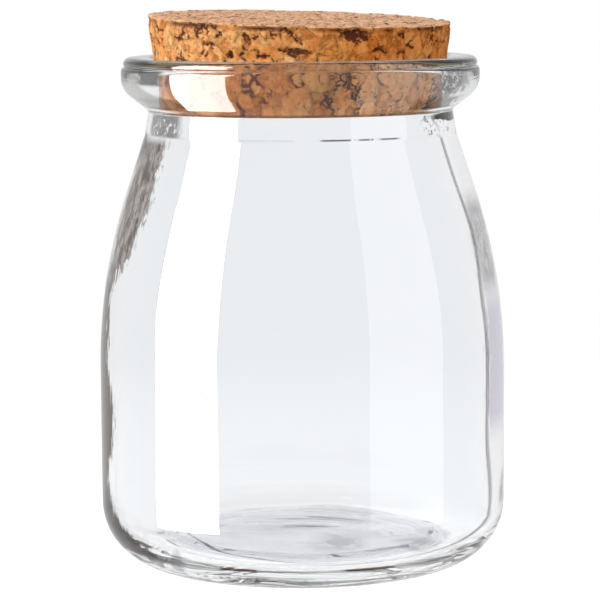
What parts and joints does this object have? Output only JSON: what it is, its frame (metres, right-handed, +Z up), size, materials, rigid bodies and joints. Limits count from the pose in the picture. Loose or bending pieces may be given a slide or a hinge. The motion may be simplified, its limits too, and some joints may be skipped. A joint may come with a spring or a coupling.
{
  "type": "corked glass jar",
  "caption": "Round clear glass jar with a sloping shoulder and a rolled rim, closed by a tapered stopper of pressed cork granules.",
  "frame": {"origin": "centre of the ring that the jar stands on", "axes": "+Z up along the jar's axis, towards the stopper"},
  "size_m": [0.068, 0.068, 0.0926],
  "materials": {
    "glass": "clear, polished",
    "cork": "matt pressed cork granules"
  },
  "bodies": {
    "root": {"jar": "glass", "cork": "cork"}
  },
  "joints": []
}
